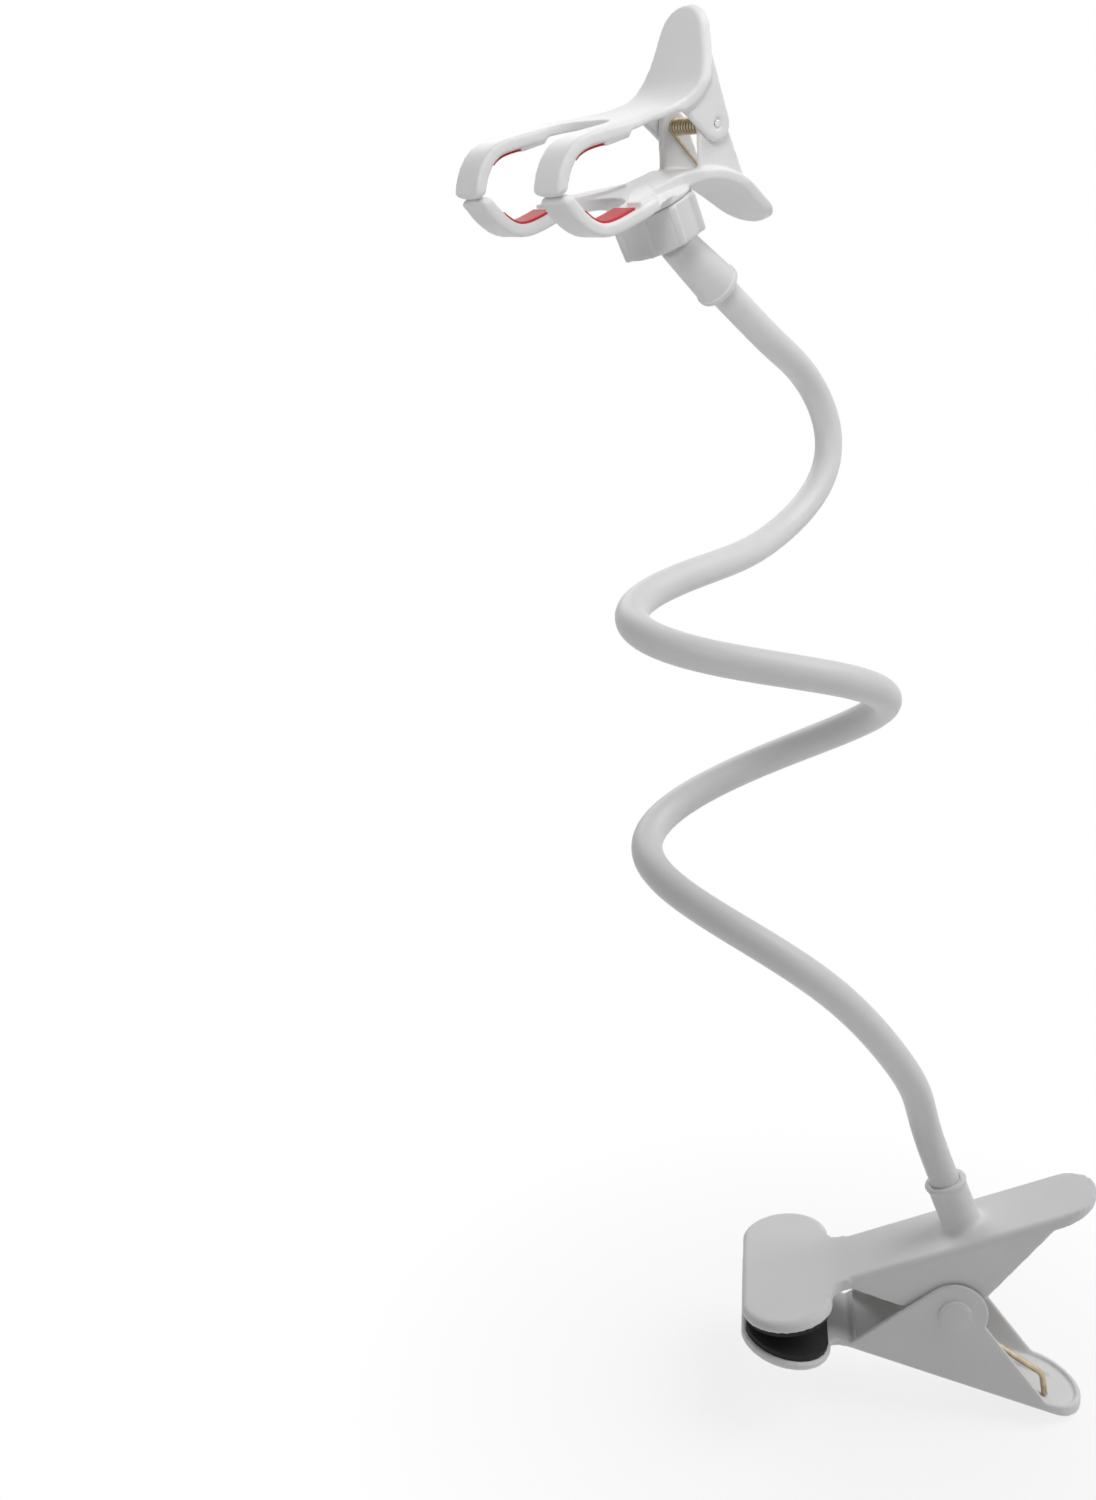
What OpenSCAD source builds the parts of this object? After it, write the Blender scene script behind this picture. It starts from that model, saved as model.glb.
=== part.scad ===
// Phone clamp holder: a spring clip for a table edge, a long bendable arm, a
// ball joint with a lock nut, and a spring clip with two pairs of padded claws.
// Millimetres, +Z up. The origin is the middle of the upper table pad's lower
// face. +X points to the table clip's handles and +Y away from the viewer. The
// feet stand as in the free clip, with their noses close together.

/* [Table clip] */
// Free height between the middles of the two table pads at rest
table_gap = 6.6; // [6.6:0.1:7.4]
// Length of a table foot, along the clip
foot_l = 29; // [27:0.2:30]
// Width of a table foot across the middle of its curved ends
foot_w = 66; // [60:1:68]
// How far each end of a foot is bowed out
foot_bow = 11.6; // [9:0.2:12.4]
// Pitch of each foot at rest, which brings the two noses together
foot_pitch = 9.5; // [7:0.1:9.8]
// Thickness of the moulded foot
foot_t = 3.4; // [3.2:0.1:4]
// Thickness of a rubber table pad
pad_t = 1.8; // [1.6:0.1:2.2]
// Margin of a rubber table pad inside its foot
pad_in = 1.2; // [0.8:0.1:2.5]
// Distance from the middle of the feet to the pivot
pivot_x = 53; // [48:1:58]
// Height of the pivot above the table pad's face
pivot_z = 0.5; // [0:0.1:1]
// Distance from the pivot to the tip of the upper handle
upper_reach = 42.8; // [39:0.5:46]
// Distance from the pivot to the tip of the lower handle
lower_reach = 44.2; // [40:0.5:47]
// Width of the upper lever at its back
upper_w = 26.4; // [25.4:0.1:27]
// Slope of the upper lever's back
upper_slope = 23.3; // [21:0.1:25]
// Height of the upper lever's back above the pivot
upper_rise = 23.9; // [22.5:0.1:25]
// Draft of the upper lever's side walls
upper_draft = 6.5; // [6:0.1:8]
// How much wider the lower lever is, whose ears lie outside the upper one's walls
ear_room = 1.6; // [1.5:0.1:2.6]
// Slope of the lower lever's back
lower_slope = 15.5; // [14:0.1:17]
// Height of the lower lever's back below the pivot
lower_rise = 25; // [24:0.1:26]
// Radius of the lower lever's round ears
ear_r = 10.5; // [9.5:0.1:11]
// Wall thickness of both table levers
wall_t = 1.8; // [1.6:0.1:1.9]
// Thickness of the skin along the back of both table levers
skin_t = 2.4; // [2:0.1:3]
// Depth of the rim round the tip of the handles
rim_d = 4; // [3.4:0.1:5]
// Diameter of the steel table pivot pin
table_pin_d = 4; // [3:0.1:5]
// Diameter of the two pivot caps
cap_d = 10.6; // [9:0.1:12]
// Height of a pivot cap
cap_h = 1.3; // [1:0.1:2]
// Wire of the table spring
table_wire_d = 2; // [1.6:0.1:2.2]

/* [Arm] */
// Outer diameter of the arm's sleeve
sleeve_d = 9.5; // [8.5:0.1:10.5]
// Diameter of the arm's aluminium core
core_d = 5.4; // [4.5:0.1:5.8]
// Outer diameter of the collar on the table clip
collar_d = 12.6; // [12:0.1:14]
// Height of the collar above the lever's back
collar_h = 16.5; // [14:0.5:19]
// Distance of the collar past the pivot, towards the handles
collar_off = 2.3; // [1:0.1:3]
// Diameter of the fixing screw under the collar
screw_d = 3; // [2.5:0.1:3.5]
// Diameter of the ferrule at the ball joint
ferrule_d1 = 11.4; // [11:0.1:11.6]
// Diameter of the ferrule at the arm
ferrule_d2 = 13.8; // [13.2:0.1:14.6]
// Distance from the ball's centre to the arm's end of the ferrule
ferrule_reach = 32.3; // [30.3:0.5:34.3]

/* [Ball joint] */
// Diameter of the ball
ball_d = 16; // [15.4:0.1:16.4]
// Diameter of the neck under the ball
neck_d = 6; // [5:0.1:6.4]
// Angle between the ball's neck and the nut's axis at rest
neck_tilt = 28.9; // [26:0.1:30]
// Diameter of the lock nut over its ribs
nut_d = 28; // [27.4:0.1:28.6]
// Height of the lock nut
nut_h = 11.9; // [11.4:0.1:12.4]
// Diameter of the slotted collet inside the nut
collet_d = 20; // [19.6:0.1:21]
// Lean of the nut's axis against the phone clip
socket_lean = 8.4; // [7:0.1:9.4]
// Sideways lean of the nut's axis, away from the viewer
socket_roll = 3.8; // [2:0.1:5]

/* [Phone clip] */
// Place of the phone clip's pivot pin, along X
clip_x = -41.8; // [-44.8:0.5:-38.8]
// Place of the phone clip's pivot pin, along Y
clip_y = 28.4; // [25.4:0.5:31.4]
// Height of the phone clip's pivot pin
clip_z = 364.7; // [361.7:0.5:367.7]
// Turn of the phone clip about the vertical
clip_yaw = 43.5; // [40:0.5:47]
// Rise of the phone clip towards its handles
clip_pitch = 20.2; // [18:0.1:23]
// Roll of the phone clip about its length
clip_roll = 4.6; // [2:0.1:7]
// Distance from the phone clip's pivot pin to the claws' tips
claw_reach = 71.4; // [66:0.2:76]
// Distance between the middles of the two claws of a lever
claw_pitch = 37.7; // [35:0.1:40]
// Width of a claw
claw_w = 11.2; // [10:0.1:12]
// Thickness of the phone clip's mouldings
clip_t = 3.2; // [3:0.1:3.5]
// Width of the upper handle of the phone clip at its root
upper_paddle_w = 26.6; // [25:0.1:28]
// Width of the lower handle of the phone clip at its root
lower_paddle_w = 24; // [23.6:0.1:26]
// Outer width over the upper lever's ears
ear_w = 23; // [22.6:0.1:24]
// Thickness of an ear or a web
ear_t = 1.8; // [1.5:0.1:2]
// Diameter of the phone clip's pivot pin
clip_pin_d = 2.8; // [2.4:0.1:3]
// Wire of the phone clip's spring
clip_wire_d = 0.9; // [0.8:0.05:1]
// Thickness of a red claw pad
claw_pad_t = 0.9; // [0.7:0.1:1.2]
// Width of a red claw pad
claw_pad_w = 9.2; // [8:0.1:9.8]

/* [Hidden] */
$fn = 48;
run = 0.05;                        // radial running clearance of a pin
tight = 0.02;                      // gap between faces that only touch
far = 200;                         // longer than any cut
clip_pos = [clip_x, clip_y, clip_z];
foot_top = pad_t + foot_t;
lower_w = upper_w + ear_room;
upper_tip = pivot_x + upper_reach;
lower_tip = pivot_x + lower_reach;
collar_x = pivot_x + collar_off;
collar_floor = 2;                  // the collar's bore ends this high
sleeve_bore = core_d + 0.1;
claw_y = claw_pitch / 2;
web_w = ear_w - 2 * ear_t - 0.8;   // the lower lever's webs, inside the ears
web_in = web_w / 2 - ear_t;        // half the free width between the webs
collet_low = 4;                    // the collet reaches this far below the ball
ferrule_top = ball_d / 2 + 1.2;    // the ferrule starts this far from the ball
neck_end = 18;                     // the ball's shank ends this far from it
plate_z = -13.8;                   // underside of the phone clip's lower plate

// ---------------------------------------------------------------- helpers

function unit(v) = v / norm(v);
function arc(c, r, a0, a1, n) =
    [for (i = [0:n]) let (a = a0 + (a1 - a0) * i / n) c + r * [cos(a), sin(a)]];
function back_to_front(v) = [for (i = [len(v) - 1:-1:0]) v[i]];
// Angle at which the line from p touches a circle, on its left or right
function touch(c, r, p, side) =
    atan2(p[1] - c[1], p[0] - c[0]) + side * acos(r / norm(p - c));
// Uniform cubic B-spline through its guide points, m steps to a span
function spline(g, m) = concat(
    [for (i = [1:len(g) - 3], k = [0:m - 1]) let (u = k / m, v = 1 - u)
        (v * v * v * g[i - 1] + (3 * u * u * u - 6 * u * u + 4) * g[i]
        + (3 * v * v * v - 6 * v * v + 4) * g[i + 1] + u * u * u * g[i + 2]) / 6],
    [(g[len(g) - 3] + 4 * g[len(g) - 2] + g[len(g) - 1]) / 6]);
// The same, starting and ending at the first and last guide point
function curve(g, m) = let (n = len(g) - 1)
    spline(concat([2 * g[0] - g[1]], g, [2 * g[n] - g[n - 1]]), m);
// A line of 2-D points moved sideways by d, to the right of its direction
function beside(p, d) = [for (i = [0:len(p) - 1])
    let (t = unit(p[min(i + 1, len(p) - 1)] - p[max(i - 1, 0)]))
    p[i] + d * [t[1], -t[0]]];

// Directions along a path, and one side direction carried along it
function heading(p) = [for (i = [0:len(p) - 1])
    unit(p[min(i + 1, len(p) - 1)] - p[max(i - 1, 0)])];
function carried(t, u, i = 1) = i == len(t) ? u :
    carried(t, concat(u, [unit(u[i - 1] - (u[i - 1] * t[i]) * t[i])]), i + 1);
function side_start(t) = let (a = abs(t[1]) < 0.8 ? [0, 1, 0] : [1, 0, 0])
    unit(a - (a * t) * t);
function ring(p, t, u, r, n) = [for (k = [0:n - 1])
    let (a = 360 * k / n) p + r * (cos(a) * u + sin(a) * cross(t, u))];
function rings(p, r, n) = let (t = heading(p), u = carried(t, [side_start(t[0])]))
    [for (i = [0:len(p) - 1]) each ring(p[i], t[i], u[i], r, n)];
function skin(m, n, o, inward) = [for (i = [0:m - 2], k = [0:n - 1])
    let (a = o + i * n + k, b = o + i * n + (k + 1) % n)
    each inward ? [[a, b, b + n], [a, b + n, a + n]]
                : [[b, a, a + n], [b, a + n, b + n]]];

// Round rod along a path
module rod(p, r, n) {
    m = len(p);
    polyhedron(rings(p, r, n), concat(skin(m, n, 0, false),
        [[for (k = [0:n - 1]) k]], [[for (k = [n - 1:-1:0]) (m - 1) * n + k]]));
}

// Round tube along a path
module pipe(p, r, rb, n) {
    m = len(p);
    o = m * n;
    polyhedron(concat(rings(p, r, n), rings(p, rb, n)), concat(
        skin(m, n, 0, false), skin(m, n, o, true),
        [for (k = [0:n - 1]) let (j = (k + 1) % n) each
            [[k, j, o + j], [k, o + j, o + k]]],
        [for (k = [0:n - 1]) let (j = (k + 1) % n, e = (m - 1) * n) each
            [[e + j, e + k, o + e + k], [e + j, o + e + k, o + e + j]]]));
}

// A side view in X and Z, made w wide across Y
module across(w, y = 0) {
    translate([0, y, 0]) rotate([90, 0, 0])
        linear_extrude(w, center = true) children();
}

// A view along X, in Y and Z, made l long
module along(l) {
    rotate([90, 0, 90]) linear_extrude(l, center = true) children();
}

module cyl_y(r, y0, y1) {
    translate([0, y0, 0]) rotate([-90, 0, 0]) cylinder(r = r, h = y1 - y0);
}

// ---------------------------------------------------------------- frames

// On the upper table lever's back: z is square to it and x runs up its slope
module at_collar() {
    translate([collar_x, 0, upper_back(collar_x)]) rotate([0, -upper_slope, 0])
        children();
}

module at_table_pivot() { translate([pivot_x, 0, pivot_z]) children(); }

// The phone clip's own frame: its pivot pin lies along y and its claws at -x
module at_clip() {
    translate(clip_pos) rotate([0, 0, clip_yaw]) rotate([0, -clip_pitch, 0])
        rotate([clip_roll, 0, 0]) children();
}
function turn_x(a, v) = [v[0], cos(a) * v[1] - sin(a) * v[2],
    sin(a) * v[1] + cos(a) * v[2]];
function turn_y(a, v) = [cos(a) * v[0] + sin(a) * v[2], v[1],
    cos(a) * v[2] - sin(a) * v[0]];
function turn_z(a, v) = [cos(a) * v[0] - sin(a) * v[1],
    sin(a) * v[0] + cos(a) * v[1], v[2]];
function clip_dir(v) =
    turn_z(clip_yaw, turn_y(-clip_pitch, turn_x(clip_roll, v)));
function clip_point(v) = clip_pos + clip_dir(v);

// In the phone clip's frame: the ball's centre, and the frames of nut and neck
ball_at = [-19.9, 0, -22.4];
neck_lean = socket_lean + neck_tilt;
module at_socket() {
    at_clip() translate(ball_at) rotate([0, -socket_lean, 0])
        rotate([-socket_roll, 0, 0]) children();
}
module at_neck() {
    at_clip() translate(ball_at) rotate([0, -neck_lean, 0]) mirror([0, 0, 1])
        children();
}
neck_dir = [sin(neck_lean), 0, -cos(neck_lean)];

// ---------------------------------------------------------------- table clip

// Height of the lever's back over x, for a lever as it stands on its own foot
function back_line(x, rise, slope) = rise + tan(slope) * (x - pivot_x);
upper_h = pivot_z + upper_rise;
function upper_back(x) = back_line(x, upper_h, upper_slope);
// The lower lever is drawn upside down on its own foot, then turned over
low_pivot = -table_gap - pivot_z;
lower_h = low_pivot + lower_rise;
function low_back(x) = back_line(x, lower_h, lower_slope);

module turned_over() { translate([0, 0, -table_gap]) mirror([0, 0, 1]) children(); }

// Pitches a foot about the middle of its pad's face, its nose down
module pitched() { rotate([0, -foot_pitch, 0]) children(); }
function pitched_xz(p) = [for (q = p)
    [q[0] * cos(foot_pitch) - q[1] * sin(foot_pitch),
     q[0] * sin(foot_pitch) + q[1] * cos(foot_pitch)]];

// Outline of a foot from above, its ends bowed out
module foot_outline() {
    bow_r = (pow(foot_l / 2, 2) + pow(foot_bow, 2)) / (2 * foot_bow);
    a = asin(foot_l / 2 / bow_r);
    offset(r = 6, $fn = 48) offset(delta = -6)
        polygon(concat(arc([0, foot_w / 2 - bow_r], bow_r, 90 - a, 90 + a, 10),
            arc([0, bow_r - foot_w / 2], bow_r, 270 - a, 270 + a, 10)));
}

// Outline of the lever behind the foot, from above, with its round end at $tip
module lever_outline(w, cut = 0) {
    r = w / 2 - cut;
    polygon(concat([[foot_l / 2 - 6, r]], [[foot_l / 2 - 6, -r]],
        arc([$tip - w / 2, 0], r, -90, 90, 20)));
}

// Top line of a lever from the foot to the tip, with the hollow behind the foot
function top_line(rise, slope) = let (hollow = 22, top = pitched_xz([[0, foot_top]])[0],
    x = (top[1] - top[0] * tan(foot_pitch) - rise + pivot_x * tan(slope))
        / (tan(slope) - tan(foot_pitch)),
    c = [x, back_line(x, rise, slope)] + pitched_xz(
        [[-hollow * tan((slope - foot_pitch) / 2), hollow]])[0])
    concat(arc(c, hollow, foot_pitch - 90, slope - 90, 4),
        [[$tip, back_line($tip, rise, slope)]]);

// Side view of a lever's outside: back, rim, wall and round ear
module lever_side(rise, slope, pz, er, back_at, back_a, front) {
    c = [pivot_x, pz];
    a0 = touch(c, er, front, 1);
    rim_at = [back_at, back_line(back_at, rise, slope) - rim_d];
    a1 = back_a == 0 ? touch(c, er, rim_at, -1) + 360 : back_a + 360;
    polygon(concat(pitched_xz([[foot_l / 2 - 6.5, pad_t + 0.8],
        [foot_l / 2, pad_t + 0.8]]), [front], arc(c, er, a0, a1, 12), [rim_at],
        [[$tip, back_line($tip, rise, slope) - rim_d]],
        back_to_front(top_line(rise, slope)),
        pitched_xz([[foot_l / 2 - 6.5, foot_top - 0.7]])));
}

// Side view of the hollow under a lever's back
module lever_hollow(rise, slope, floor_z) {
    drop = skin_t / cos(slope);
    x0 = foot_l / 2 + 8;
    polygon([[x0, back_line(x0, rise, slope) - drop],
        [x0, floor_z], [$tip, floor_z],
        [$tip, back_line($tip, rise, slope) - drop]]);
}

// Cross-section of a lever: rounded back edges and drafted walls
module lever_section(w, draft, cut, r = 2.2) {
    h = w / 2 - cut;
    d = 60;
    e = h - d * tan(draft);
    polygon(concat([[-e, -d]], back_to_front(arc([-h + r, -r], r, 90, 180, 5)),
        arc([h - r, -r], r, 90, 0, 5), [[e, -d]]));
}

// A foot with a rounded upper edge, and the neck that joins it to the lever
module foot_block(rise, slope) {
    r = 2.2;
    pitched() hull() for (a = [0:22.5:90])
        translate([0, 0, pad_t]) linear_extrude(foot_t - r + r * sin(a))
            offset(delta = -r * (1 - cos(a))) foot_outline();
    intersection() {
        pitched() linear_extrude(40) intersection() {
            offset(r = -5, $fn = 32) offset(r = 5) {
                foot_outline();
                intersection() {
                    lever_outline(upper_w);
                    square([2 * (foot_l / 2 + 6), far], center = true);
                }
            }
            translate([foot_l / 2 - 6, -19]) square([20, 38]);
        }
        across(far) polygon(concat(
            pitched_xz([[foot_l / 2 + 1, pad_t + 0.1], [foot_l / 2 - 7, pad_t + 0.1],
                [foot_l / 2 - 7, foot_top - 0.5]]), top_line(rise, slope),
            [[foot_l / 2 + 6, pad_t + 4.6]]));
    }
}

// One lever of the table clip, standing on its own foot
module table_lever(w, rise, slope, draft, pz, er, back_at, back_a, front) {
    foot_block(rise, slope);
    difference() {
        intersection() {
            across(w + 2) lever_side(rise, slope, pz, er, back_at, back_a, front);
            translate([0, 0, -40]) linear_extrude(120) lever_outline(w);
            translate([pivot_x, 0, rise]) rotate([0, -slope, 0])
                along(far) lever_section(w, draft, 0);
        }
        intersection() {
            across(w) lever_hollow(rise, slope, -60);
            translate([0, 0, -70]) linear_extrude(140) lever_outline(w, wall_t);
            translate([pivot_x, 0, rise]) rotate([0, -slope, 0])
                along(far) lever_section(w, draft, wall_t, 1);
        }
    }
}

module table_upper_lever() {
    color("whitesmoke") difference() {
        union() {
            table_lever(upper_w, upper_h, upper_slope, upper_draft, pivot_z,
                5.5, pivot_x + 28.5, 0, [foot_l / 2 + 5, pad_t + 4.6],
                $tip = upper_tip);
            at_collar() collar();
            // stiffening ribs under the handle
            for (s = [-1, 1]) intersection() {
                across(1.4, s * 4.8) lever_side(upper_h, upper_slope, pivot_z,
                    5.5, pivot_x + 28.5, 0, [foot_l / 2 + 5, pad_t + 4.6],
                    $tip = upper_tip);
                across(20) polygon([
                    [pivot_x + 12, upper_back(pivot_x + 12) - 6.5],
                    [upper_tip - 9, upper_back(upper_tip - 9) - 3.6],
                    [upper_tip - 9, upper_back(upper_tip - 9) - 1],
                    [pivot_x + 12, upper_back(pivot_x + 12) - 1]]);
            }
        }
        at_table_pivot() cyl_y(table_pin_d / 2 + run, -lower_w, lower_w);
        at_collar() {
            translate([0, 0, collar_floor]) cylinder(d = sleeve_d + 2 * run, h = far);
            translate([0, 0, -20]) cylinder(d = screw_d + 2 * run, h = 40);
        }
    }
}

// Collar for the arm, with a hollow at its foot, a lip, and a boss underneath
module collar() {
    r = collar_d / 2;
    rotate_extrude() polygon(concat([[0, -5.4], [5, -5.4], [5.4, -1], [r + 2.5, -1]],
        arc([r + 2.5, 2.5], 2.5, 270, 180, 5),
        [[r, collar_h - 1.6], [r + 0.35, collar_h - 1.2],
        [r + 0.35, collar_h - 0.4], [r, collar_h], [0, collar_h]]));
}

module table_lower_lever() {
    color("whitesmoke") difference() {
        union() {
            turned_over() table_lever(lower_w, lower_h, lower_slope, 0, low_pivot,
                ear_r, pivot_x + 30.5, 20.8, [foot_l / 2 + 6, pad_t + 4.6],
                $tip = lower_tip);
            // stiffening rib along the handle
            turned_over() intersection() {
                across(1.4, 4.5) lever_side(lower_h, lower_slope, low_pivot,
                    ear_r, pivot_x + 30.5, 20.8, [foot_l / 2 + 6, pad_t + 4.6],
                    $tip = lower_tip);
                across(20) polygon([
                    [pivot_x + 16, low_back(pivot_x + 16) - 5],
                    [lower_tip - 9, low_back(lower_tip - 9) - 3.6],
                    [lower_tip - 9, low_back(lower_tip - 9) - 1],
                    [pivot_x + 16, low_back(pivot_x + 16) - 1]]);
            }
        }
        at_table_pivot() cyl_y(table_pin_d / 2, -lower_w, lower_w);
    }
}

module table_pad() {
    linear_extrude(pad_t) offset(delta = -pad_in) foot_outline();
}
module table_upper_pad() { color("dimgray") pitched() table_pad(); }
module table_lower_pad() { color("dimgray") turned_over() pitched() table_pad(); }

module table_pivot_pin() {
    color("silver") at_table_pivot() cyl_y(table_pin_d / 2, -lower_w / 2, lower_w / 2);
}

// Push-on cap with a rounded edge and a shallow dish
module pivot_cap() {
    r = cap_d / 2;
    rotate_extrude() polygon(concat([[0, 0], [r, 0]],
        arc([r - 0.9, cap_h - 0.9], 0.9, 0, 90, 4),
        [[r - 1.5, cap_h - 0.2], [0, cap_h - 0.2]]));
}
module table_near_pivot_cap() {
    color("whitesmoke") at_table_pivot() translate([0, -lower_w / 2, 0])
        rotate([90, 0, 0]) pivot_cap();
}
module table_far_pivot_cap() {
    color("whitesmoke") at_table_pivot() translate([0, lower_w / 2, 0])
        rotate([-90, 0, 0]) pivot_cap();
}

// A torsion spring about y: each leg leaves the turns straight for its knee,
// from the side that winds the turns tighter when the two tips come together.
function coil_path(mr, half, turns, knee0, tip0, knee1, tip1, side, n) =
    let (s0 = touch([0, 0], mr, knee0, side), s1 = touch([0, 0], mr, knee1, -side),
        sweep = s1 - s0 + side * 360 * turns, steps = ceil(abs(sweep) / 360 * n),
        start = mr * [cos(s0), sin(s0)], last = mr * [cos(s1), sin(s1)])
    concat([for (p = [tip0, knee0, (knee0 + start) / 2]) [p[0], -half, p[1]]],
        [for (i = [0:steps]) let (a = s0 + sweep * i / steps)
            [mr * cos(a), -half + 2 * half * i / steps, mr * sin(a)]],
        [for (p = [(knee1 + last) / 2, knee1, tip1]) [p[0], half, p[1]]]);

module table_spring() {
    // heights of the two handles' inner faces from the pivot, over x
    low = table_gap + lower_h - skin_t / cos(lower_slope) + pivot_z;
    high = upper_rise - skin_t / cos(upper_slope);
    x0 = lower_reach - 10.2;
    x1 = upper_reach - 12.8;
    tip0 = [x0, 0.5 * table_wire_d / 2 - low - tan(lower_slope) * x0];
    tip1 = [x1, high + tan(upper_slope) * x1 - 0.5 * table_wire_d / 2];
    color("goldenrod") at_table_pivot()
        rod(coil_path(table_pin_d / 2 + 2.2, 7.4, 5, tip0 + [-1.4, 7.6], tip0,
            tip1 + [0.6, -5], tip1, -1, 10), table_wire_d / 2, 8);
}

// ---------------------------------------------------------------- arm

module arm_fixing_screw() {
    color("silver") at_collar() {
        translate([0, 0, -7.2]) cylinder(d = screw_d, h = 15);
        translate([0, 0, -8.4]) cylinder(d1 = 5, d2 = 5.8, h = 1.6);
    }
}

module arm_fixing_washer() {
    color("silver") at_collar() translate([0, 0, -6.8]) difference() {
        cylinder(d = 8, h = 1.4);
        translate([0, 0, -1]) cylinder(d = screw_d, h = 4);
    }
}

// The arm's course, from the ferrule to the collar. Its guide points are the
// corners of a frame that the smooth curve is drawn inside.
mouth_dir = [-sin(upper_slope), 0, cos(upper_slope)];
collar_foot = [collar_x, 0, upper_back(collar_x)];
arm_low = collar_foot + collar_h * mouth_dir;
arm_high = clip_point(ball_at + ferrule_reach * neck_dir);
arm_guides = [[-11, 63, 299], [-3, 100, 294], [14, 98, 262], [-12, 74, 241],
    [-21, 36, 236], [-42, 1, 234], [-62.3, -32, 225], [-31, -56, 219],
    [5, -40, 213], [30, -11, 200.5], [1, 11, 183], [-36, 12, 165],
    [-57, -17, 153], [-30, -44, 145], [3, -54, 130], [19, -29, 106],
    [38.5, -12, 77]];
arm_curve = spline(concat(
    [for (k = [-1:1]) arm_high + 24 * k * clip_dir(neck_dir)], arm_guides,
    [for (k = [1:-1:-1]) arm_low + 26 * k * mouth_dir]), 4);
function inside_ferrule(d) = clip_point(ball_at + d * neck_dir);
function inside_collar(z) = collar_foot + z * mouth_dir;

module arm_core() {
    color("lightgray") difference() {
        rod(concat([inside_ferrule(neck_end + tight)], arm_curve,
            [inside_collar(collar_floor + 8), inside_collar(collar_floor + tight)]),
            core_d / 2, 10);
        at_collar() cylinder(d = screw_d + 2 * run, h = 9);
    }
}

module arm_sleeve() {
    color("white")
        pipe(concat([inside_ferrule(14)], arm_curve, [inside_collar(collar_floor)]),
            sleeve_d / 2, sleeve_bore / 2, 16);
}

module arm_ferrule() {
    r = sleeve_d / 2 + run;
    color("whitesmoke") at_neck() rotate_extrude() polygon([
        [neck_d / 2 - 0.5 + run, ferrule_top], [ferrule_d1 / 2 - 0.5, ferrule_top],
        [ferrule_d1 / 2, ferrule_top + 0.5],
        [ferrule_d2 / 2, ferrule_reach - 2], [ferrule_d2 / 2 + 0.35, ferrule_reach - 1.7],
        [ferrule_d2 / 2 + 0.35, ferrule_reach - 0.5],
        [ferrule_d2 / 2 - 0.1, ferrule_reach],
        [r, ferrule_reach], [r, 14], [neck_d / 2 - 0.5 + run, 14]]);
}

// ---------------------------------------------------------------- ball joint

module swivel_ball() {
    r = ball_d / 2;
    color("silver") at_neck() {
        sphere(r = r, $fn = 64);
        cylinder(d = neck_d, h = ferrule_top);
        cylinder(d = neck_d - 1, h = neck_end);
    }
}

// Half profile of the lock nut's inside: thread land, cone and flared mouth
nut_top = nut_h / 2 - 0.45;
nut_low = nut_top - nut_h;
cone_top = -1;
collet_tip = collet_d / 2 - 1.4;
rib_r = 1.9;                         // round ribs on the nut, for the fingers
module lock_nut() {
    rb = collet_d / 2 + run;
    color("gainsboro") at_socket() difference() {
        intersection() {
            union() {
                translate([0, 0, nut_low]) cylinder(d = nut_d - 3, h = nut_h);
                for (k = [0:7]) rotate([0, 0, 45 * k])
                    translate([nut_d / 2 - rib_r, 0, nut_low]) cylinder(r = rib_r, h = nut_h);
            }
            rotate_extrude() polygon([[0, nut_low], [nut_d / 2 - 1.9, nut_low],
                [nut_d / 2 - 1.2, nut_low + 0.9], [nut_d / 2, nut_top - 0.8],
                [nut_d / 2 - 0.6, nut_top], [0, nut_top]]);
        }
        rotate_extrude() polygon([[0, nut_low - 1], [collet_d / 2 + 1.6, nut_low - 1],
            [collet_d / 2 + 1.2, nut_low], [collet_tip + 0.1, -collet_low - 0.2],
            [rb, cone_top], [rb, nut_top + 1], [0, nut_top + 1]]);
    }
}

// The collet that grips the ball, with its slots, under a round boss
module socket() {
    cr = collet_d / 2;
    difference() {
        union() {
            intersection() {
                at_socket() translate([0, 0, nut_top + 0.3]) cylinder(d = 25, h = 14);
                at_clip() translate([0, 0, plate_z - 18])
                    linear_extrude(20.2) square(90, center = true);
            }
            at_socket() rotate_extrude() polygon([[0, -collet_low],
                [collet_tip, -collet_low], [cr, cone_top], [cr, nut_top + 1],
                [0, nut_top + 1]]);
        }
        at_socket() {
            sphere(r = ball_d / 2 + run, $fn = 64);
            translate([0, 0, -12]) cylinder(d = neck_d + 7.9, h = 12 - collet_low + 0.6);
            for (k = [0:3]) rotate([0, 0, 45 + 90 * k])
                translate([0, -0.6, -10]) cube([14, 1.2, 14]);
        }
    }
}

// ---------------------------------------------------------------- phone clip

// Points of the claws drawn for a reach of 71.4, moved out or in to the real one
function reached(p) = [for (q = p)
    [q[0] < -18 ? (q[0] + 18) * (claw_reach - 18) / 53.4 - 18 : q[0], q[1]]];

// Outer surface of each lever, from the claw's tip to the handle's tip
upper_outer = curve(reached([[-71.4, -1], [-70.4, 3.4], [-67.3, 7.7], [-63.3, 11],
    [-58, 12.1], [-50.7, 11.6], [-42, 11], [-34, 10.9], [-26, 10], [-18.5, 9.4],
    [-10.8, 10], [-5.2, 12.4], [-1.6, 17], [0.9, 22.2], [3, 27.4], [4.9, 32],
    [6.4, 35.6]]), 3);
lower_outer = curve(reached([[-70.5, 0.6], [-68.9, -4], [-66.1, -8.8], [-62.4, -12.9],
    [-57.8, -15.2], [-51.5, -15.2], [-46, -14.4], [-38, -13.8], [-30, -13.8],
    [-21, -13.8], [-12, -13], [-4.6, -14.4], [1.4, -16.6], [6.4, -20.2],
    [11.2, -25.3], [15.8, -30.4], [22.4, -38]]), 3);
upper_inner = beside(upper_outer, clip_t);
lower_inner = beside(lower_outer, -clip_t);

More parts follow.
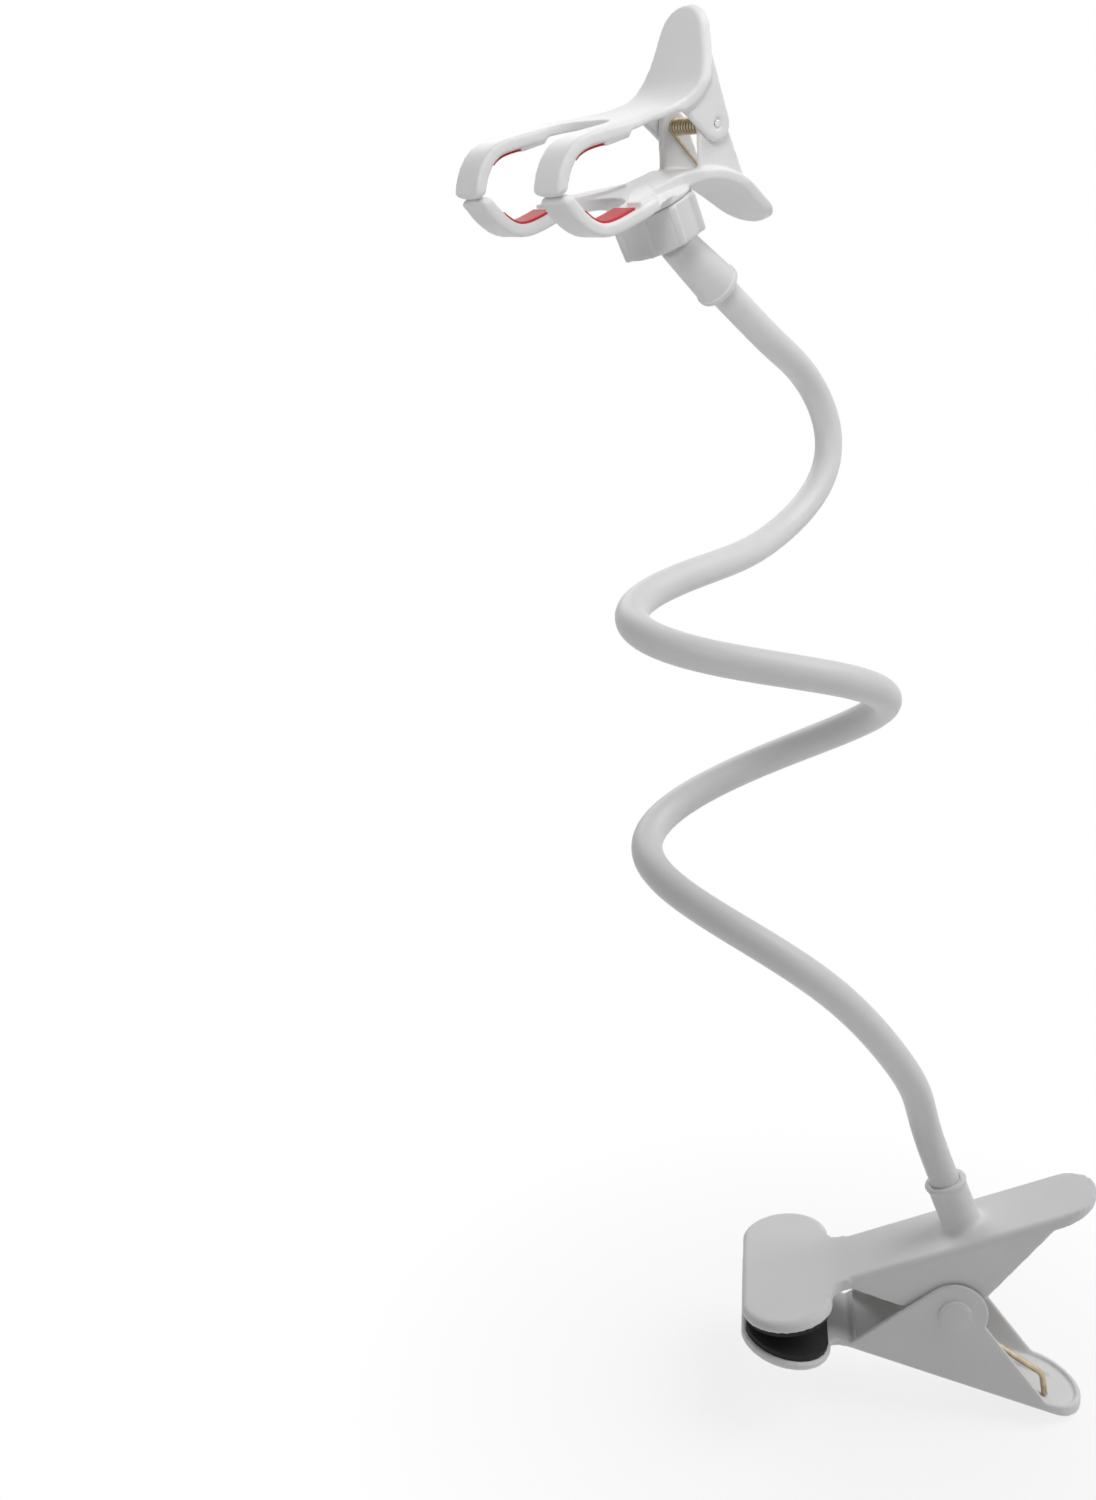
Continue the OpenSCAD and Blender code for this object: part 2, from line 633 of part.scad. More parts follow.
// Half of a lever's outline from above: claw, shoulder and the handle's root
module clip_outline(w) {
    s = curve(reached([[-44, claw_y + claw_w / 2], [-38.5, claw_y + claw_w / 2 - 1],
        [-34, claw_y + claw_w / 2 - 3.6], [-29, claw_y - 0.5],
        [-23.5, w / 2 + 2.6], [-18, w / 2 + 0.6], [-12, w / 2]]), 3);
    difference() {
        polygon(concat([[-far, claw_y + claw_w / 2]], s, [[-8, w / 2]],
            [[-8, -w / 2]], [for (p = back_to_front(s)) [p[0], -p[1]]],
            [[-far, -claw_y - claw_w / 2]]));
        offset(r = 8, $fn = 32) offset(delta = -8)
            translate([reached([[-36.5, 0]])[0][0] - far, -claw_y + claw_w / 2])
                square([far, 2 * claw_y - claw_w]);
    }
}

// A handle seen along the clip: w wide down to z0, then narrowing to a round
// tip at z1. Its face leans back, which makes it look k times as tall.
module handle_front(w, z0, z1, tip_r, k) {
    p = [w / 2, 0];
    c = [0, (z1 - z0) / k - tip_r];
    a = touch(c, tip_r, p, 1);
    translate([0, z0]) scale([1, k]) polygon(concat(
        [p, [w / 2, -60], [-w / 2, -60], [-w / 2, 0]],
        arc(c, tip_r, 180 - a, a, 16)));
}
module upper_front() { handle_front(upper_paddle_w, 12.5, 31.3, 9.4, 0.9); }
module lower_front() {
    mirror([0, 1]) handle_front(lower_paddle_w, 18.4, 33.5, 10, 0.72);
}

// The claws meet at this height; a lever keeps to its own side of it
meet_z = -0.6;
module clip_lever(outer, inner, w, up) {
    intersection() {
        across(far) offset(r = 1.2, $fn = 20) offset(delta = -1.2) difference() {
            polygon(concat(outer, back_to_front(inner)));
            translate([-15 - claw_reach, up ? meet_z + 0.1 - 20 : meet_z - 0.1])
                square([26, 20]);
        }
        union() {
            translate([0, 0, -60]) linear_extrude(120) intersection() {
                clip_outline(w);
                translate([-10 - far, -far / 2]) square(far);
            }
            translate([40 - 10.5, 0, 0]) along(80) children();
        }
    }
}

// An ear or web: a round end about the pin, tangent to two edges
module pin_plate(r, from_pt, to_pt, rest, side) {
    a0 = touch([0, 0], r, from_pt, side);
    a1 = touch([0, 0], r, to_pt, -side);
    sweep = side > 0 ? (a1 < a0 ? a1 + 360 : a1) : (a1 > a0 ? a1 - 360 : a1);
    polygon(concat([from_pt], arc([0, 0], r, a0, sweep, 12), [to_pt], rest));
}

module phone_upper_lever() {
    color("whitesmoke") at_clip() difference() {
        union() {
            clip_lever(upper_outer, upper_inner, upper_paddle_w, true)
                upper_front();
            intersection() {
                for (s = [-1, 1]) across(ear_t, s * (ear_w - ear_t) / 2)
                    pin_plate(4.8, [-13, 8.2], [2.4, 18.6], [[1, 18.4],
                        [-2.6, 13.6], [-6, 10.8], [-10.6, 8.6]], 1);
                along(far) upper_front();
            }
        }
        cyl_y(clip_pin_d / 2 + run, -ear_w, ear_w);
    }
}

module phone_lower_lever() {
    color("whitesmoke") difference() {
        union() {
            at_clip() {
                clip_lever(lower_outer, lower_inner, lower_paddle_w, false)
                    lower_front();
                for (s = [-1, 1]) across(ear_t, s * (web_w - ear_t) / 2)
                    pin_plate(5, [-7.6, -11.8], [9.2, -18.6], [[8, -20.4],
                        [0.4, -15.2], [-7.6, -12.6]], -1);
            }
            socket();
        }
        at_clip() cyl_y(clip_pin_d / 2, -ear_w, ear_w);
    }
}

module phone_pivot_pin() {
    color("silver") at_clip() cyl_y(clip_pin_d / 2, -ear_w / 2, ear_w / 2);
}

module phone_spring() {
    // each tip rests on the inner face of its own lever's handle
    off = clip_t + clip_wire_d / 2 + tight;
    tip0 = beside(upper_outer, off)[39];
    tip1 = beside(lower_outer, -off)[40];
    color("goldenrod") at_clip()
        rod(coil_path(clip_pin_d / 2 + clip_wire_d / 2 + 0.2,
            web_in - clip_wire_d / 2 - 0.2, 12, tip0 * 0.9, tip0, tip1 * 0.9, tip1, 1, 9),
            clip_wire_d / 2, 6);
}

// Pad on the inside of a claw, between two points of the lever's inner line
module claw_pad(inner, side, first, last, y) {
    face = [for (i = [first:last]) inner[i]];
    at_clip() across(claw_pad_w, y)
        polygon(concat(face, back_to_front(beside(face, side * claw_pad_t))));
}
module upper_near_claw_pad() {
    color("crimson") claw_pad(upper_inner, 1, 8, 15, -claw_y);
}
module upper_far_claw_pad() {
    color("crimson") claw_pad(upper_inner, 1, 8, 15, claw_y);
}
module lower_near_claw_pad() {
    color("crimson") claw_pad(lower_inner, -1, 6, 18, -claw_y);
}
module lower_far_claw_pad() {
    color("crimson") claw_pad(lower_inner, -1, 6, 18, claw_y);
}

table_upper_lever();
table_lower_lever();
table_upper_pad();
table_lower_pad();
table_pivot_pin();
table_near_pivot_cap();
table_far_pivot_cap();
table_spring();
arm_fixing_screw();
arm_fixing_washer();
arm_core();
arm_sleeve();
arm_ferrule();
swivel_ball();
lock_nut();
phone_lower_lever();
phone_upper_lever();
phone_pivot_pin();
phone_spring();
upper_near_claw_pad();
upper_far_claw_pad();
lower_near_claw_pad();
lower_far_claw_pad();
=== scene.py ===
import math

import bmesh
import bpy
import numpy as np
from mathutils import Matrix, Vector


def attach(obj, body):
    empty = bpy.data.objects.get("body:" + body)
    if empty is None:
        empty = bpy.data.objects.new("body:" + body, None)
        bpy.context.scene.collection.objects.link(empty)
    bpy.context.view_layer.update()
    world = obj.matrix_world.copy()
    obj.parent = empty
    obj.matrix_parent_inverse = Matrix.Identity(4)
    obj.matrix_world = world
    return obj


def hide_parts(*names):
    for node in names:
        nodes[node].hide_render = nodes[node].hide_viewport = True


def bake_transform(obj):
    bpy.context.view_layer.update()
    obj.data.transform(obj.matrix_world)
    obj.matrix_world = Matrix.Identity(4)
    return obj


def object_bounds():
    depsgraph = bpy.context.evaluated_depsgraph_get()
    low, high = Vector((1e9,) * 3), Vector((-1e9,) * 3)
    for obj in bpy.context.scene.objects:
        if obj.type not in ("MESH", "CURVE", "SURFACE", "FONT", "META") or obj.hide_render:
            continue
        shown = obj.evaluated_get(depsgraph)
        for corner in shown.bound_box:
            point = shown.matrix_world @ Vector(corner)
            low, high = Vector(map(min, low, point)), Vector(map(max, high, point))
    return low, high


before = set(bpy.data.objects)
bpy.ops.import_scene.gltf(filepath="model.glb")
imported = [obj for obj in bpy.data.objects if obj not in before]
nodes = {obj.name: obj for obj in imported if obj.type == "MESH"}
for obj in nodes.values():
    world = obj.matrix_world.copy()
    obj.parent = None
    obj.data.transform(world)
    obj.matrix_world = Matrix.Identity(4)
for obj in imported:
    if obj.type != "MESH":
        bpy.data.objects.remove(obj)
cad_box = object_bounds()
scene = bpy.context.scene
MM = 0.001


# ------------------------------------------------------------------ camera

def set_camera():
    """The photo's angle: a little from the left and from above."""
    data = bpy.data.cameras.new("camera")
    data.sensor_width = 36
    data.lens = 35.28
    data.clip_start = 0.01
    camera = bpy.data.objects.new("camera", data)
    camera.location = (-0.01935, -0.4414, 0.2904)
    camera.rotation_euler = (math.radians(76), 0, math.radians(7.92))
    scene.collection.objects.link(camera)
    scene.camera = camera


set_camera()


# ------------------------------------------------------------------ shader maths

class Sock:
    """One output of a shader tree, so that sums on it can be written as sums."""

    def __init__(self, tree, out):
        self.tree, self.out = tree, out

    def node(self, kind, settings=None, pick=0, **sockets):
        """Any other node: its type, its settings, which output is meant, and its sockets'
        values or links, by name or as _0, _1 and so on."""
        made = self.tree.nodes.new(kind)
        for key, value in (settings or {}).items():
            setattr(made, key, value)
        for key, value in sockets.items():
            key = key.lstrip("_")
            if key.isdigit():
                socket = made.inputs[int(key)]
            else:
                socket = made.inputs[key.replace("_", " ")]
            if isinstance(value, Sock):
                self.tree.links.new(value.out, socket)
            else:
                socket.default_value = value
        return Sock(self.tree, made.outputs[pick])

    def math(self, operation, *values):
        return self.node("ShaderNodeMath", {"operation": operation},
                         **{f"_{i}": v for i, v in enumerate(values)})

    def __add__(self, other): return self.math("ADD", self, other)
    def __radd__(self, other): return self.math("ADD", other, self)
    def __sub__(self, other): return self.math("SUBTRACT", self, other)
    def __mul__(self, other): return self.math("MULTIPLY", self, other)
    def __rmul__(self, other): return self.math("MULTIPLY", other, self)
    def __truediv__(self, other): return self.math("DIVIDE", self, other)

    def clipped(self): return self.node("ShaderNodeClamp", _0=self)

    def grains(self, size_mm, detail=2.0, rough=0.5):
        """Soft noise over the surface, with patches of about this size; self is a position."""
        return self.node("ShaderNodeTexNoise", None, 0, Vector=self,
                         Scale=1000.0 / size_mm, Detail=detail, Roughness=rough)

    def tint(self, first, second):
        """From the first colour to the second as self goes from 0 to 1."""
        return self.node("ShaderNodeMix", {"data_type": "RGBA"}, 2,
                         _0=self, _6=first, _7=second)

    def bump(self, strength, depth_mm, grain_mm, detail):
        """A fine grain that tilts the surface; self is a position."""
        return self.node("ShaderNodeBump", None, 0, Strength=strength, Distance=depth_mm * MM,
                         Height=self.grains(grain_mm, detail))


def finish_named(name, roughness, metallic=0.0, specular=0.5):
    """A new material, its shader, the object's own position in it, and how to feed the shader."""
    material = bpy.data.materials.new(name)
    material.use_nodes = True
    tree = material.node_tree
    shader = tree.nodes["Principled BSDF"]
    shader.inputs["Roughness"].default_value = roughness
    shader.inputs["Metallic"].default_value = metallic
    shader.inputs["Specular IOR Level"].default_value = specular
    place = Sock(tree, tree.nodes.new("ShaderNodeTexCoord").outputs["Object"])

    def feed(socket, value):
        tree.links.new(value.out, shader.inputs[socket])
    return material, shader, place, feed


def grey(v):
    return (v, v, v, 1)


PLASTIC_SHINE = 0.35  # the specular level of plastic and rubber; 0.5 is bare metal's


def moulded_white(name, light, dark, roughness, grain_mm=0.5, grain=0.06):
    """Moulded white plastic: a faint cloudiness in colour and gloss, and a fine spark grain."""
    material, shader, place, feed = finish_named(name, roughness, specular=PLASTIC_SHINE)
    cloud = place.grains(14, 3.0)
    feed("Base Color", ((cloud - 0.3) * 2.2).clipped().tint(dark, light))
    feed("Roughness", roughness - 0.05 + 0.1 * place.grains(5, 2.0))
    feed("Normal", place.bump(grain, 0.12, grain_mm, 3.0))
    return material


def rubber(name, light, dark, roughness):
    """Matte rubber with a dusty, slightly uneven face."""
    material, shader, place, feed = finish_named(name, roughness, specular=PLASTIC_SHINE)
    dust = place.grains(3.5, 4.0, 0.6)
    feed("Base Color", ((dust - 0.35) * 2.6).clipped().tint(dark, light))
    feed("Roughness", roughness - 0.08 + 0.16 * place.grains(1.5, 3.0))
    feed("Normal", place.bump(0.25, 0.2, 0.8, 3.0))
    return material


def bare_metal(name, light, dark, roughness):
    """Drawn or turned metal: a little uneven in colour and polish."""
    material, shader, place, feed = finish_named(name, roughness, metallic=1.0)
    stain = place.grains(2.2, 4.0, 0.6)
    feed("Base Color", ((stain - 0.35) * 2.5).clipped().tint(dark, light))
    feed("Roughness", roughness - 0.06 + 0.14 * place.grains(0.9, 3.0))
    feed("Normal", place.bump(0.12, 0.1, 0.4, 2.0))
    return material


FINISH = {
    "white_satin": moulded_white("satin white plastic", grey(0.80), grey(0.775), 0.46),
    "white_gloss": moulded_white("glossy white plastic", grey(0.86), grey(0.84), 0.42, 0.6, 0.04),
    "white_nut": moulded_white("lock nut plastic", grey(0.76), grey(0.73), 0.42, 0.5, 0.08),
    "white_sleeve": moulded_white("soft white sleeve", grey(0.78), grey(0.755), 0.40, 0.7, 0.05),
    "black_rubber": rubber("black pad rubber", grey(0.016), grey(0.008), 0.72),
    "red_rubber": rubber("red claw pad rubber", (0.60, 0.042, 0.055, 1),
                         (0.50, 0.028, 0.040, 1), 0.55),
    # The spring wire's two brass tones are darkened all over by painted shade, so the wire looks
    # as if it lay in shadow; the noise between the tones is random.
    "gold_wire": bare_metal("brass coloured spring wire", (0.62, 0.52, 0.37, 1),
                            (0.44, 0.36, 0.24, 1), 0.34),
    "steel": bare_metal("bright steel", grey(0.78), grey(0.66), 0.24),
    "aluminium_core": bare_metal("drawn aluminium", grey(0.80), grey(0.70), 0.36),
}


# ------------------------------------------------------------------ sizes and frames
# In millimetres and degrees, as in the solids.

TABLE_HINGE = (53, 0, 0.5)
UPPER_SLOPE, LOWER_SLOPE = 23.3, 15.5       # of the table clip's two handles
UPPER_FACE, LOWER_FACE = 23.9, 25           # their outer faces over and under the hinge
HANDLE_WALL = 2.4
COLLAR_OFF = 2.3                            # from the hinge along the upper handle
PHONE_HINGE = (-41.8, 28.4, 364.7)
BALL_IN_CLIP = (-19.9, 0, -22.4)
SLEEVE_RADIUS, CORE_RADIUS = 4.75, 2.7
COLLAR_TOP, FERRULE_TOP = 16.5, 32.3        # where the arm comes out of each
BALL_RADIUS, SHANK_RADIUS = 8, 3
NUT_TOP, NUT_LOW = 5.5, -6.4
RIBS, RIB_CIRCLE = 8, 12.5                  # round the lock nut
NUT_TURN = -13                              # how far the nut is screwed on, as in the photo
CLAW_Y, HALF_CLAW = 18.85, 5.7              # middle of each claw, and where its edge rounds off


def turn(axis, degrees):
    return Matrix.Rotation(math.radians(degrees), 3, axis)


def slope_of(degrees):
    return math.tan(math.radians(degrees))


def frame_at(place_mm, rotation):
    """Frame with its origin at this place, for points in metres."""
    return Matrix.Translation(Vector(place_mm) * MM) @ rotation.to_4x4()


HINGE_X, _, HINGE_Z = TABLE_HINGE
TABLE_PIVOT = frame_at(TABLE_HINGE, turn("X", 0))
COLLAR = frame_at((HINGE_X + COLLAR_OFF, 0,
                   HINGE_Z + UPPER_FACE + slope_of(UPPER_SLOPE) * COLLAR_OFF),
                  turn("Y", -UPPER_SLOPE))
CLIP_TURN = turn("Z", 43.5) @ turn("Y", -20.2) @ turn("X", 4.6)
CLIP = frame_at(PHONE_HINGE, CLIP_TURN)
BALL_MM = CLIP @ (Vector(BALL_IN_CLIP) * MM) * 1000
SOCKET = frame_at(BALL_MM, CLIP_TURN @ turn("Y", -8.4) @ turn("X", -3.8))
NECK = frame_at(BALL_MM, CLIP_TURN @ turn("Y", -37.3) @ turn("X", 180))


# ------------------------------------------------------------------ making meshes

SHARP_OVER = 40  # degrees between two faces whose edge stays sharp


def in_scene(name, mesh):
    obj = bpy.data.objects.new(name, mesh)
    scene.collection.objects.link(obj)
    return obj


def smoothed(obj, sharp_over=None):
    """Shades an object smooth, but for edges sharper than this many degrees."""
    mesh = obj.data
    mesh.polygons.foreach_set("use_smooth", [True] * len(mesh.polygons))
    if sharp_over:
        mesh.set_sharp_from_angle(angle=math.radians(sharp_over))
    return obj


def mesh_object(name, points, faces):
    """An object at the origin, its place in its mesh."""
    mesh = bpy.data.meshes.new(name)
    mesh.from_pydata([tuple(p) for p in points], [], faces)
    mesh.update()
    bm = bmesh.new()
    bm.from_mesh(mesh)
    bmesh.ops.remove_doubles(bm, verts=bm.verts, dist=1e-7)
    bmesh.ops.recalc_face_normals(bm, faces=bm.faces)
    bm.to_mesh(mesh)
    bm.free()
    return smoothed(in_scene(name, mesh), SHARP_OVER)


def settled(obj):
    """The object with its modifiers worked out, as one plain mesh."""
    graph = bpy.context.evaluated_depsgraph_get()
    mesh = bpy.data.meshes.new_from_object(obj.evaluated_get(graph), depsgraph=graph)
    name = obj.name
    bpy.data.objects.remove(obj)
    return in_scene(name, mesh)


def turned(name, profile_mm, at, sides=64):
    """A lathe-turned solid about z of a frame; the profile runs as radius and height."""
    points, rings = [], []
    for radius, height in profile_mm:
        if radius < 1e-6:
            rings.append([len(points)])
            points.append(at @ Vector((0, 0, height * MM)))
            continue
        rings.append(list(range(len(points), len(points) + sides)))
        for k in range(sides):
            a = 2 * math.pi * k / sides
            points.append(at @ Vector((radius * math.cos(a) * MM,
                                       radius * math.sin(a) * MM, height * MM)))
    faces = []
    closed = len(rings[0]) > 1 and len(rings[-1]) > 1
    pairs = list(zip(rings, rings[1:])) + ([(rings[-1], rings[0])] if closed else [])
    for low, high in pairs:
        for k in range(sides):
            j = (k + 1) % sides
            if len(low) == 1 and len(high) > 1:
                faces.append([low[0], high[j], high[k]])
            elif len(high) == 1 and len(low) > 1:
                faces.append([low[k], low[j], high[0]])
            elif len(low) > 1:
                faces.append([low[k], low[j], high[j], high[k]])
    return mesh_object(name, points, faces)


def rounded(corner, before, after, radius, steps=5):
    """Points of a profile's corner, rounded between its two neighbours."""
    c, a, b = Vector(corner), Vector(before), Vector(after)
    u, v = (a - c).normalized(), (b - c).normalized()
    half = math.acos(max(-1, min(1, u.dot(v)))) / 2
    reach = radius / math.tan(half)
    centre = c + (u + v).normalized() * (radius / math.sin(half))
    p, q = c + u * reach - centre, c + v * reach - centre
    return [tuple(centre + (p * (1 - t) + q * t).normalized() * radius)
            for t in (k / steps for k in range(steps + 1))]


def softened(profile, radii):
    """A profile with each inner corner rounded by its own radius, 0 to leave it."""
    out = [profile[0]]
    for k in range(1, len(profile) - 1):
        if radii[k - 1] > 0:
            out += rounded(profile[k], profile[k - 1], profile[k + 1], radii[k - 1])
        else:
            out.append(profile[k])
    return out + [profile[-1]]


def prism(outline_mm, low_mm, high_mm, at):
    """An upright block of a frame, its outline running in x and y."""
    count = len(outline_mm)
    points = [at @ Vector((x * MM, y * MM, z * MM)) for z in (low_mm, high_mm)
              for x, y in outline_mm]
    faces = [list(range(count)), list(range(count, 2 * count))]
    faces += [[k, (k + 1) % count, count + (k + 1) % count, count + k] for k in range(count)]
    return mesh_object("block", points, faces)


def from_cad(node, name):
    """A merged copy of a CAD node, to be worked on."""
    mesh = nodes[node].data.copy()
    bm = bmesh.new()
    bm.from_mesh(mesh)
    bmesh.ops.remove_doubles(bm, verts=bm.verts, dist=2e-6)
    bm.to_mesh(mesh)
    bm.free()
    return in_scene(name, mesh)


def added(obj, *others):
    """Puts other pieces' meshes into obj, and removes those pieces."""
    bm = bmesh.new()
    bm.from_mesh(obj.data)
    for other in others:
        bm.from_mesh(other.data)
        bpy.data.objects.remove(other)
    bm.to_mesh(obj.data)
    bm.free()
    return obj


def moulded(obj, grain_mm, passes, swell_mm=0.0):
    """One moulded skin over everything in obj, its edges softly rounded."""
    skin = obj.modifiers.new("skin", "REMESH")
    skin.mode, skin.voxel_size, skin.adaptivity = "VOXEL", grain_mm * MM, 0
    if swell_mm:
        swell = obj.modifiers.new("swell", "DISPLACE")
        swell.strength, swell.mid_level = swell_mm * MM, 0
    soft = obj.modifiers.new("soft edges", "SMOOTH")
    soft.factor, soft.iterations = 0.5, passes
    return smoothed(settled(obj))


def points_of(obj):
    """All points of an object's mesh, in metres."""
    co = np.zeros(len(obj.data.vertices) * 3)
    obj.data.vertices.foreach_get("co", co)
    return co.reshape(-1, 3)


def placed_by(matrix, co):
    """Points moved by a frame's matrix."""
    m = np.array(matrix)
    return co @ m[:3, :3].T + m[:3, 3]


def step(v, start, end):
    """0 before the start, 1 after the end, eased between them; for arrays."""
    t = np.clip((v - start) / (end - start), 0, 1)
    return t * t * (3 - 2 * t)


def reshaped(obj, at, move):
    """Moves an object's points by a rule that works in millimetres of a frame."""
    co = placed_by(at.inverted(), points_of(obj)) * 1000
    move(co)
    obj.data.vertices.foreach_set("co", placed_by(at, co * MM).ravel())
    obj.data.update()
    return obj


def piece(obj, finish, body, *stands_for):
    """Gives a piece its finish and the body it moves with, in place of these CAD nodes.
    Without a body, the piece still has to be blended between two."""
    obj.data.materials.clear()
    obj.data.materials.append(FINISH[finish])
    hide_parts(*stands_for)
    if body:
        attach(obj, body)
    return obj


# ------------------------------------------------------------------ rods along a path

def new_tree(name, inputs):
    """A geometry nodes group with these inputs after its geometry, and its two end nodes."""
    tree = bpy.data.node_groups.new(name, "GeometryNodeTree")
    face = tree.interface
    face.new_socket("Geometry", in_out="INPUT", socket_type="NodeSocketGeometry")
    for label, kind in inputs.items():
        face.new_socket(label, in_out="INPUT", socket_type="NodeSocket" + kind)
    face.new_socket("Geometry", in_out="OUTPUT", socket_type="NodeSocketGeometry")
    return tree, tree.nodes.new("NodeGroupInput"), tree.nodes.new("NodeGroupOutput")


def painted(tree, given, result, shape):
    """The last nodes of both groups: one real mesh with the finish on it."""
    real = tree.nodes.new("GeometryNodeRealizeInstances")
    paint = tree.nodes.new("GeometryNodeSetMaterial")
    tree.links.new(shape, real.inputs["Geometry"])
    tree.links.new(real.outputs["Geometry"], paint.inputs["Geometry"])
    tree.links.new(given.outputs["Finish"], paint.inputs["Material"])
    tree.links.new(paint.outputs["Geometry"], result.inputs["Geometry"])


def rod_tree():
    """Geometry nodes that draw a round rod along a line."""
    tree, given, result = new_tree("rod along a line", {
        "Rod radius": "Float", "Sides": "Int", "Finish": "Material"})
    new, link = tree.nodes.new, tree.links.new
    line = new("GeometryNodeMeshToCurve")
    ring = new("GeometryNodeCurvePrimitiveCircle")
    sweep = new("GeometryNodeCurveToMesh")
    sweep.inputs["Fill Caps"].default_value = True
    smooth = new("GeometryNodeSetShadeSmooth")
    link(given.outputs["Geometry"], line.inputs["Mesh"])
    link(given.outputs["Rod radius"], ring.inputs["Radius"])
    link(given.outputs["Sides"], ring.inputs["Resolution"])
    link(line.outputs["Curve"], sweep.inputs["Curve"])
    link(ring.outputs["Curve"], sweep.inputs["Profile Curve"])
    link(sweep.outputs["Mesh"], smooth.inputs["Geometry"])
    painted(tree, given, result, smooth.outputs["Geometry"])
    return tree


def with_inputs(obj, tree, **values):
    """Adds a geometry nodes modifier and sets its inputs by their identifiers."""
    known = {item.name: item.identifier for item in tree.interface.items_tree
             if item.in_out == "INPUT"}
    modifier = obj.modifiers.new(tree.name, "NODES")
    modifier.node_group = tree
    for label, value in values.items():
        modifier[known[label.replace("_", " ")]] = value


ROD = rod_tree()


def rod(name, path, radius_mm, sides, finish):
    """A round rod along a path in metres."""
    mesh = bpy.data.meshes.new(name)
    mesh.from_pydata([tuple(p) for p in path], [(k, k + 1) for k in range(len(path) - 1)], [])
    obj = in_scene(name, mesh)
    with_inputs(obj, ROD, Rod_radius=radius_mm * MM, Sides=sides, Finish=FINISH[finish])
    obj = settled(obj)
    obj.data.set_sharp_from_angle(angle=math.radians(50))
    return obj


def b_spline(guides, steps):
    """A smooth line that its guide points draw towards them: a uniform cubic B-spline."""
    g = np.array(guides, float)
    out = []
    for i in range(1, len(g) - 2):
        for u in np.arange(steps) / steps:
            v = 1 - u
            out.append((v ** 3 * g[i - 1] + (3 * u ** 3 - 6 * u * u + 4) * g[i]
                        + (3 * v ** 3 - 6 * v * v + 4) * g[i + 1] + u ** 3 * g[i + 2]) / 6)
    out.append((g[-3] + 4 * g[-2] + g[-1]) / 6)
    return out


def evened(path, spread):
    """Takes the short waves out of a path and leaves its long bends as they are."""
    path, reach = np.array(path), 3 * spread
    weights = np.exp(-0.5 * (np.arange(-reach, reach + 1) / spread) ** 2)

    def smooth(p):
        padded = np.pad(p, ((reach, reach), (0, 0)), "reflect", reflect_type="odd")
        return np.stack([np.convolve(c, weights / weights.sum(), "valid") for c in padded.T], 1)

    out = smooth(path)
    for _ in range(2):
        out += smooth(path - out)
    return out


def on_neck(distance_mm):
    """The point this far down the ball's neck."""
    return np.array(NECK @ Vector((0, 0, distance_mm * MM))) * 1000


def on_collar(height_mm):
    """The point this far up the collar."""
    return np.array(COLLAR @ Vector((0, 0, height_mm * MM))) * 1000


STEPS, EVENED_OVER = 16, 10  # points of the line between two guides; how many are evened out
ARM_GUIDES = [(-11, 63, 299), (-3, 99.95, 294), (14, 98, 262), (-12, 74, 241), (-21, 36, 236),
              (-42, 1, 234), (-62.3, -32, 225), (-31, -55.6, 219), (5, -40, 213),
              (30, -11, 200.5), (1, 11, 183), (-36, 12, 165), (-57, -17, 153),
              (-30, -44, 145), (3, -53.5, 130), (19, -29, 106), (38.5, -12, 77)]


def arm_course(first_mm, last_mm):
    """The arm's middle line, from this far down the ball's neck to this height in the collar."""
    high, low = on_neck(FERRULE_TOP), on_collar(COLLAR_TOP)
    along_neck, along_collar = on_neck(1) - on_neck(0), on_collar(1) - on_collar(0)
    guides = ([high + 24 * k * along_neck for k in (-1, 0, 1)] + [np.array(g) for g in ARM_GUIDES]
              + [low + 26 * k * along_collar for k in (1, 0, -1)])
    course = evened(b_spline(guides, STEPS), EVENED_OVER)
    return [p * MM for p in [on_neck(first_mm), *course, on_collar(10), on_collar(last_mm)]]


def make_arm():
    """The arm's sleeve and its core wire, each a rod along the arm's course from the ball's neck
    down into the collar.
    """
    for name, (first, last), radius, sides, finish, node in (
            ("arm_sleeve_tube", (14, 2), SLEEVE_RADIUS, 40, "white_sleeve", "arm_sleeve"),
            ("arm_core_wire", (18.02, 2.02), CORE_RADIUS, 20, "aluminium_core", "arm_core")):
        obj = rod(name, arm_course(first, last), radius, sides, finish)
        piece(obj, finish, None, node)
        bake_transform(obj)


# ------------------------------------------------------------------ springs

def tangent(radius, point, side):
    """Angle at which a line from the point touches a circle round the pin."""
    reach = math.hypot(*point)
    return math.atan2(point[1], point[0]) + side * math.acos(radius / reach)


def eased(path, radius, steps=5):
    """The path with its inner points drawn as rounded corners."""
    out = [np.array(path[0], float)]
    for a, c, b in zip(path, path[1:], path[2:]):
        a, c, b = (np.array(p, float) for p in (a, c, b))
        reach = min(radius, 0.45 * np.linalg.norm(a - c), 0.45 * np.linalg.norm(b - c))
        p = c + (a - c) / np.linalg.norm(a - c) * reach
        q = c + (b - c) / np.linalg.norm(b - c) * reach
        for t in np.linspace(0, 1, steps):
            out.append((1 - t) ** 2 * p + 2 * t * (1 - t) * c + t * t * q)
    return out + [np.array(path[-1], float)]


def coil_course(radius, half, turns, legs_from, legs_to, side, steps):
    """A torsion spring about y: tip, knee, turns, knee, tip. Legs are given in x and z."""
    s0, s1 = tangent(radius, legs_from[-1], side), tangent(radius, legs_to[0], -side)
    sweep = s1 - s0 + side * 2 * math.pi * turns
    count = int(abs(sweep) / (2 * math.pi) * steps)
    coil = [np.array((radius * math.cos(s0 + sweep * i / count), -half + 2 * half * i / count,
                      radius * math.sin(s0 + sweep * i / count))) for i in range(count + 1)]
    first = [(p[0], -half, p[1]) for p in legs_from]
    last = [(p[0], half, p[1]) for p in legs_to]
    return eased([*first, coil[0]], 1.6) + coil[1:-1] + eased([coil[-1], *last], 1.6)


